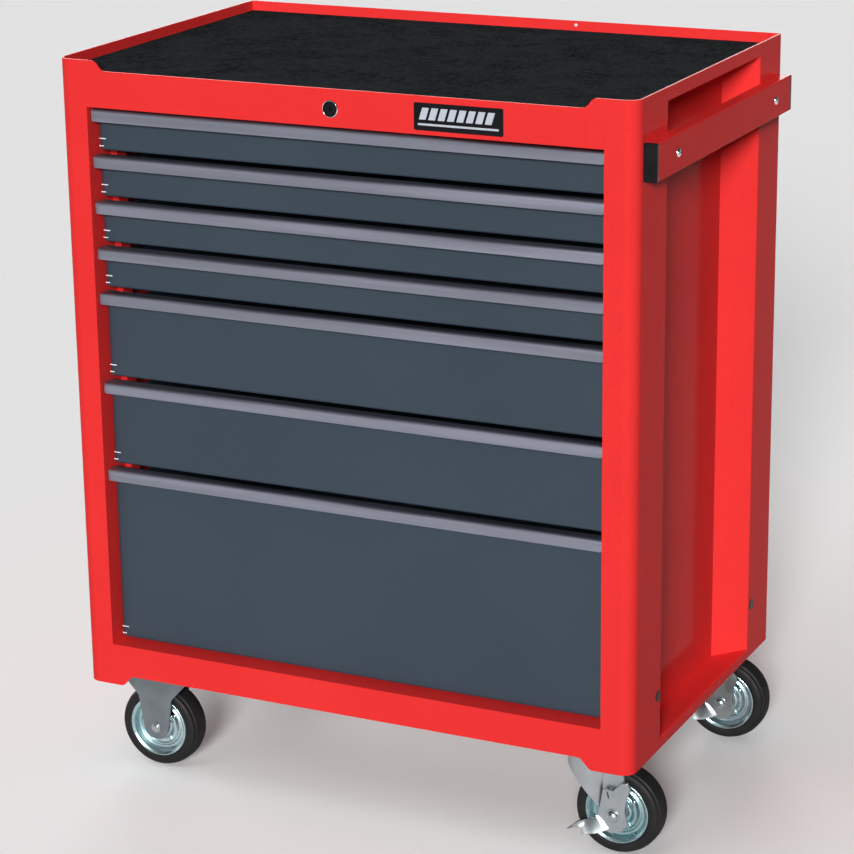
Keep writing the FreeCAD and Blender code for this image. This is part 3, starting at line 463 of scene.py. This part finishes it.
def spline(points, share):
    """A smooth curve through the points, at share 0 to 1 of its length."""
    place = min(max(share, 0.0), 1.0) * (len(points) - 1)
    i = min(int(place), len(points) - 2)
    t = place - i
    before = points[max(i - 1, 0)]
    a, b = points[i], points[i + 1]
    after = points[min(i + 2, len(points) - 1)]
    return 0.5 * (2 * a + (b - before) * t + (2 * before - 5 * a + 4 * b - after) * t * t
                  + (3 * a - before - 3 * b + after) * t ** 3)


def axle_ends(centre, near_reach, far_reach, head_r, head_h):
    """Axle shaft with a washer and a domed head on each side."""
    shape = Shape()
    shape.knob([(-near_reach, AXLE_R), (far_reach, AXLE_R)], centre, segments=48)
    for side, reach in ((-1, near_reach), (1, far_reach)):
        base = centre + Vector((0, side * reach, 0))
        washer = [(0.0, head_r + 1.4), (side * 0.7, head_r + 1.4), (side * 1.0, head_r + 1.0),
                  (side * 1.0, 3.0)]
        shape.knob(washer, base, segments=40)
        dome = [(side * 0.8, head_r)]
        for k in range(11):
            bend = math.pi / 2 * k / 11
            dome.append((side * (1.6 + (head_h - 1.6) * math.sin(bend)), head_r * math.cos(bend)))
        shape.knob(dome, base, segments=40)
    return shape


def casters():
    for wheel in WHEELS:
        tyre(wheel)
        rim(wheel)
    for end in ("front", "rear"):
        swivel_fork(end)
        brake(end)
        centre = middle("rim_%s_right" % end)
        nuts = axle_ends(centre, 27.3, 20.5, 6.6, 5.4)
        nuts.piece("swivel_axle_nuts_" + end, "zinc_plate", BODY_OF["swivel_axle_" + end],
                   ["swivel_axle_" + end], weld=False)
    shape = Shape()
    for end in ("front", "rear"):
        centre = middle("rim_%s_left" % end)
        one = axle_ends(centre, 20.5, 20.5, 4.6, 3.0)
        mesh = bpy.data.meshes.new("rivet")
        one.bm.to_mesh(mesh)
        one.bm.free()
        shape.bm.from_mesh(mesh)
        bpy.data.meshes.remove(mesh)
    shape.piece("fixed_axle_rivets", "zinc_plate", "cabinet", ["fixed_caster_axles"], weld=False)


# ---------------------------------------------------------------- cabinet
# How wide each node's edges are rounded, in millimetres.
EDGES = {"side_panel_left": 0.5, "side_panel_right": 0.5, "front_top_rail": 0.5, "front_bottom_rail": 0.5,
         "top_tray": 0.5, "back_panel": 0.5, "bottom_pan": 0.5, "side_handle_bar": 0.4,
         "side_handle_end_caps": 0.9, "fixed_caster_brackets": 0.6, "swivel_caster_plates": 0.5,
         "slide_uprights": 0.4, "hole_plugs": 0.4, "caster_bolts": 0.5, "top_mat": 0.5, "lock_bar": 0.4,
         "lock_bar_guides": 0.4, "lock_rod": 0.5, "slide_outer_members": 0.35}
DRAWER_EDGES = {"body": 0.45, "handle": 0.5, "slides": 0.35}
DRAWERS = range(1, 8)


def cabinet():
    """Rounded skins for the folded, moulded and extruded nodes; the rigid brackets take a darker copy of the
    zinc, a painted dark reflection.
    """
    skins = {node: softened(node, width) for node, width in EDGES.items()}
    # The brackets' darker zinc is a painted dark reflection put into the colour.
    skins["fixed_caster_brackets"].data.materials[0] = MATERIALS["zinc_painted_dark"]
    for number in DRAWERS:
        for kind, width in DRAWER_EDGES.items():
            softened("drawer_%d_%s" % (number, kind), width)


def cross_head(shape, centre, radius, height, recess):
    """A domed screw head that faces +X, with a cross recess pressed into its crown."""
    rows = []
    rings, steps = 12, 48
    for i in range(rings + 1):
        r = max(radius * i / rings, 0.02)
        row = []
        for k in range(steps):
            angle = 2 * math.pi * k / steps
            y, z = r * math.cos(angle), r * math.sin(angle)
            dome = height * math.sqrt(max(0.0, 1 - (r / radius) ** 2))
            arm = min(abs(y), abs(z))
            pressed = recess * max(0.0, 1 - arm / 0.75) if r < 0.62 * radius else 0.0
            row.append((centre.x + dome - min(pressed, dome), centre.y + y, centre.z + z))
        rows.append(row)
    ring = [(centre.x - 1.0, point[1], point[2]) for point in rows[-1]]
    shape.grid(rows + [ring], closed_columns=True)


def push_handle_screws():
    low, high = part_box("side_handle_screws")
    shape = Shape()
    radius = 5.0
    for y in (low.y / MM + radius, high.y / MM - radius):
        cross_head(shape, Vector((high.x / MM - 2.0, y, middle("side_handle_screws").z)), radius, 2.4, 1.6)
    shape.piece("push_handle_screw_heads", "chrome", "cabinet", ["side_handle_screws"], weld=False)


def lock():
    """Chromed bezel round a slightly sunk plug with its keyway; the plug is coloured black, a painted dark
    reflection of a chrome face.
    """
    centre = middle("lock_plug")
    centre.y = FRONT
    bezel = [(0.0, 9.6), (-1.0, 9.6), (-1.9, 9.3), (-2.4, 8.8), (-2.5, 8.5), (-2.2, 8.2), (-1.6, 8.1),
             (14.0, 8.1), (14.0, 9.0), (0.0, 9.0)]
    shape = Shape()
    shape.lathe(bezel, centre, segments=72)
    shape.piece("lock_bezel", "chrome", "cabinet", ["lock_housing"])
    collar = Shape()
    ring = [(-1.6, 8.0), (-1.9, 7.7), (-1.9, 7.3), (-1.6, 7.1), (13.8, 7.1), (13.8, 8.0)]
    collar.lathe(ring, centre, segments=72)
    collar.piece("lock_collar", "badge_black", "cabinet")
    plug = Shape()
    facing = lambda u, v, w: (centre.x + u, centre.y + w, centre.z + v)
    keyway = [(-0.8, -3.5), (0.8, -3.5), (0.8, -1.2), (1.5, -0.6), (1.5, 0.8), (0.8, 1.4), (0.8, 3.5),
              (-0.8, 3.5)]
    plug.plate(circle(0, 0, 7.0, 60), facing, -1.7, 4.0, [keyway])
    plug.soften(0.7, 50, 3)
    plug.plate(circle(0, 0, 6.9, 60), facing, 4.0, 15.8)
    # The plug takes the black badge material as a painted dark reflection of its chrome face.
    plug.piece("lock_plug_face", "badge_black", BODY_OF["lock_plug"], ["lock_plug"], weld=False)


def badge():
    """Black name plate with a plain pattern of slanted silver blocks over a thin rule."""
    low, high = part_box("badge_plate")
    x0, x1, z0, z1 = low.x / MM, high.x / MM, low.z / MM, high.z / MM
    softened("badge_plate", 0.35)
    marks = Shape()
    facing = lambda u, v, w: (u, w, v)
    near, far = low.y / MM - 0.25, low.y / MM + 0.05
    count, slant, gap = 8, 4.0, 3.0
    left, right = x0 + 6.0, x1 - 10.0
    foot, head = z0 + 11.5, z1 - 5.0
    pitch = (right - left) / count
    for i in range(count):
        u = left + pitch * i
        v = u + pitch - gap
        marks.plate([(u, foot), (v, foot), (v + slant, head), (u + slant, head)], facing, near, far)
    margin, rule_low, rule_high = 5.0, z0 + 5.6, z0 + 7.6
    marks.plate([(x0 + margin, rule_low), (x1 - margin, rule_low), (x1 - margin, rule_high),
                 (x0 + margin, rule_high)], facing, near, far)
    marks.soften(0.08, 50, 1)
    marks.piece("badge_marks", "badge_silver", "cabinet", weld=False)


def rail_seams():
    """The drawn face of the top rail, which stands a hair proud between two upright seams."""
    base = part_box("front_top_rail")[0].z / MM
    centre, barrel = middle("front_top_rail").x, middle("lock_plug")
    half, foot, head, proud, corner = 284.0, base + 0.4, base + 40.2, 0.35, 0.5
    face = [(centre - half, foot, corner), (centre + half, foot, corner), (centre + half, head, corner),
            (centre - half, head, corner)]
    shape = Shape()
    shape.plate(face, lambda u, v, w: (u, w, v), FRONT - proud, FRONT, [circle(barrel.x, barrel.z, 9.2, 60)])
    shape.soften(0.25, 50)
    shape.piece("top_rail_face", "red_paint", "cabinet", weld=False)


def rear_rim_rivet():
    """A small pale rivet in the tray's rear rim."""
    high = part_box("top_tray")[1]
    place = Vector((middle("front_top_rail").x + 90.6, high.y / MM - 1.2, high.z / MM - 5.0))
    shape = Shape()
    shape.knob([(0.2, 2.0), (-0.4, 1.9), (-0.8, 1.4), (-1.0, 0.6)], place, segments=20)
    shape.piece("rear_rim_rivet", "white_nylon_and_highlight", "cabinet", weld=False)


def drawer_highlight_strips():
    """Two short pale strips in the lower left corner of each drawer's front: small raised ridges whose white
    colour is a painted highlight.
    """
    face = FRONT + 17.0
    for number in DRAWERS:
        node = "drawer_%d_body" % number
        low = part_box(node)[0]
        x0, z0 = low.x / MM, low.z / MM
        strips = Shape()
        for start, end, up in ((1.6, 10.0, 12.2), (1.0, 6.8, 4.0)):
            strips.block((x0 + start, face - 0.3, z0 + up), (x0 + end, face + 0.2, z0 + up + 1.2))
        strips.soften(0.2, 50, 1)
        # The strips' white colour is a painted highlight on two small ridges.
        strips.piece("drawer_%d_buffers" % number, "white_nylon_and_highlight", BODY_OF[node], weld=False)


def swivel_races():
    """The rolled ball race between each swivelling fork and its mounting plate."""
    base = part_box("swivel_caster_plates")[0].z / MM
    ring = [(0.3, 26.5), (0.6, 27.8), (1.6, 28.6), (2.8, 28.8), (3.4, 28.2), (3.8, 28.2), (4.4, 29.4),
            (5.6, 30.4), (7.4, 30.6), (7.7, 26.5)]
    shape = Shape()
    for end in ("front", "rear"):
        place = (middle("swivel_caster_plates").x, middle("swivel_fork_" + end).y, base)
        shape.lathe(ring, place, "Z", 72)
    shape.piece("swivel_ball_races", "zinc_plate", "cabinet")


def back_welds():
    """Spot-weld dimples down both edges of the back panel and across its top and bottom."""
    low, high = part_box("back_panel")
    x0, x1, z0, z1 = low.x / MM, high.x / MM, low.z / MM, high.z / MM
    back = high.y / MM - 1.2
    shape = Shape()
    rows = 9
    places = []
    for i in range(rows):
        z = z0 + 30 + (z1 - z0 - 60) * i / (rows - 1)
        places += [(x0 + 9, z), (x1 - 9, z)]
    for i in range(1, rows - 1):
        x = x0 + 30 + (x1 - x0 - 60) * i / (rows - 1)
        places += [(x, z0 + 9), (x, z1 - 9)]
    for x, z in places:
        ring = [(0.0, 3.6), (0.35, 3.1), (0.45, 2.5), (0.1, 1.9), (0.0, 0.6)]
        shape.knob(ring, (x, back, z), segments=20)
    shape.piece("back_spot_welds", "red_paint", "cabinet", weld=False)


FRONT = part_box("front_top_rail")[0].y / MM

casters()
cabinet()
push_handle_screws()
lock()
badge()
rail_seams()
rear_rim_rivet()
drawer_highlight_strips()
swivel_races()
back_welds()


# ---------------------------------------------------------------- floor, light and camera
def stage_floor():
    """A plain pale floor. It shows in glossy metal but throws no light back up onto the object."""
    half = 9.0
    mesh = bpy.data.meshes.new("floor")
    corners = [(-half, -half, 0), (half, -half, 0), (half, half, 0), (-half, half, 0)]
    mesh.from_pydata(corners, [], [(0, 1, 2, 3)])
    floor = bpy.data.objects.new("floor", mesh)
    bpy.context.scene.collection.objects.link(floor)
    s = Shader("floor", Roughness=0.9, Specular_IOR_Level=0.0)
    s.join(s.mix(s.spread(s.noise(0.004, 3.0), 0, 1), (0.87, 0.87, 0.87), (0.89, 0.89, 0.89)), "Base Color")
    mesh.materials.append(s.material)
    floor.visible_diffuse = False
    return floor


def stage_wall():
    """A plain pale wall far round the object, which only shows behind it and lights nothing."""
    radius, height, steps = 8.9, 7.0, 96
    ring = [(radius * math.cos(2 * math.pi * k / steps), radius * math.sin(2 * math.pi * k / steps))
            for k in range(steps)]
    points = [(x, y, z) for z in (0.0, height) for x, y in ring]
    faces = [(k, (k + 1) % steps, steps + (k + 1) % steps, steps + k) for k in range(steps)]
    mesh = bpy.data.meshes.new("wall")
    mesh.from_pydata(points, [], faces)
    wall = bpy.data.objects.new("wall", mesh)
    bpy.context.scene.collection.objects.link(wall)
    black, pale = (0, 0, 0, 1), (0.62, 0.62, 0.63, 1)
    glow = Shader("wall", Base_Color=black, Specular_IOR_Level=0.0, Emission_Color=pale)
    glow.shader.inputs["Emission Strength"].default_value = 1.0
    mesh.materials.append(glow.material)
    wall.visible_diffuse = False
    wall.visible_glossy = False
    wall.visible_shadow = False


def sun(name, azimuth, elevation, spread, power, only=None):
    """Broad even light from azimuth degrees right of the front, on everything or on one thing only."""
    a, e = math.radians(azimuth), math.radians(elevation)
    light = bpy.data.lights.new(name, "SUN")
    light.energy = power
    light.angle = math.radians(spread)
    lamp = bpy.data.objects.new(name, light)
    lamp.location = (2 * math.sin(a), -4 * math.cos(a), 4)
    lamp.rotation_mode = "QUATERNION"
    away = Vector((-math.sin(a) * math.cos(e), math.cos(a) * math.cos(e), -math.sin(e)))
    lamp.rotation_quaternion = away.to_track_quat("-Z", "Y")
    bpy.context.scene.collection.objects.link(lamp)
    if only:
        lit = bpy.data.collections.new(name + "_lights")
        lit.objects.link(only)
        lamp.light_linking.receiver_collection = lit


def camera():
    azimuth, elevation, roll = math.radians(25.79), math.radians(17.31), math.radians(-0.745)
    distance = 3.2204
    aim = Vector((-0.001, -0.0198, 0.4082))
    forward = Vector((-math.sin(azimuth) * math.cos(elevation), math.cos(azimuth) * math.cos(elevation),
                      -math.sin(elevation)))
    right = Vector((math.cos(azimuth), math.sin(azimuth), 0))
    up = right.cross(forward)
    across = right * math.cos(roll) + up * math.sin(roll)
    upward = up * math.cos(roll) - right * math.sin(roll)
    data = bpy.data.cameras.new("camera")
    data.lens, data.sensor_width = 118.46, 36.0
    made = bpy.data.objects.new("camera", data)
    turn = Matrix((across, upward, -forward)).transposed()
    made.matrix_world = Matrix.Translation(aim - forward * distance) @ turn.to_4x4()
    bpy.context.scene.collection.objects.link(made)
    bpy.context.scene.camera = made


def room_light():
    """Faint white light from all round."""
    world = bpy.data.worlds.new("studio")
    world.use_nodes = True
    background = world.node_tree.nodes["Background"]
    background.inputs["Color"].default_value = (1.0, 1.0, 1.0, 1)
    background.inputs["Strength"].default_value = 0.08
    bpy.context.scene.world = world


ground = stage_floor()
stage_wall()
room_light()
bpy.context.scene.view_settings.view_transform = "Standard"
sun("key", 18.0, 19.0, 14.0, 3.8)
sun("left", -95.0, 8.0, 40.0, 0.9)
sun("rear", 205.0, 14.0, 30.0, 1.2)
sun("overhead", -25.0, 60.0, 50.0, 0.9, ground)
camera()
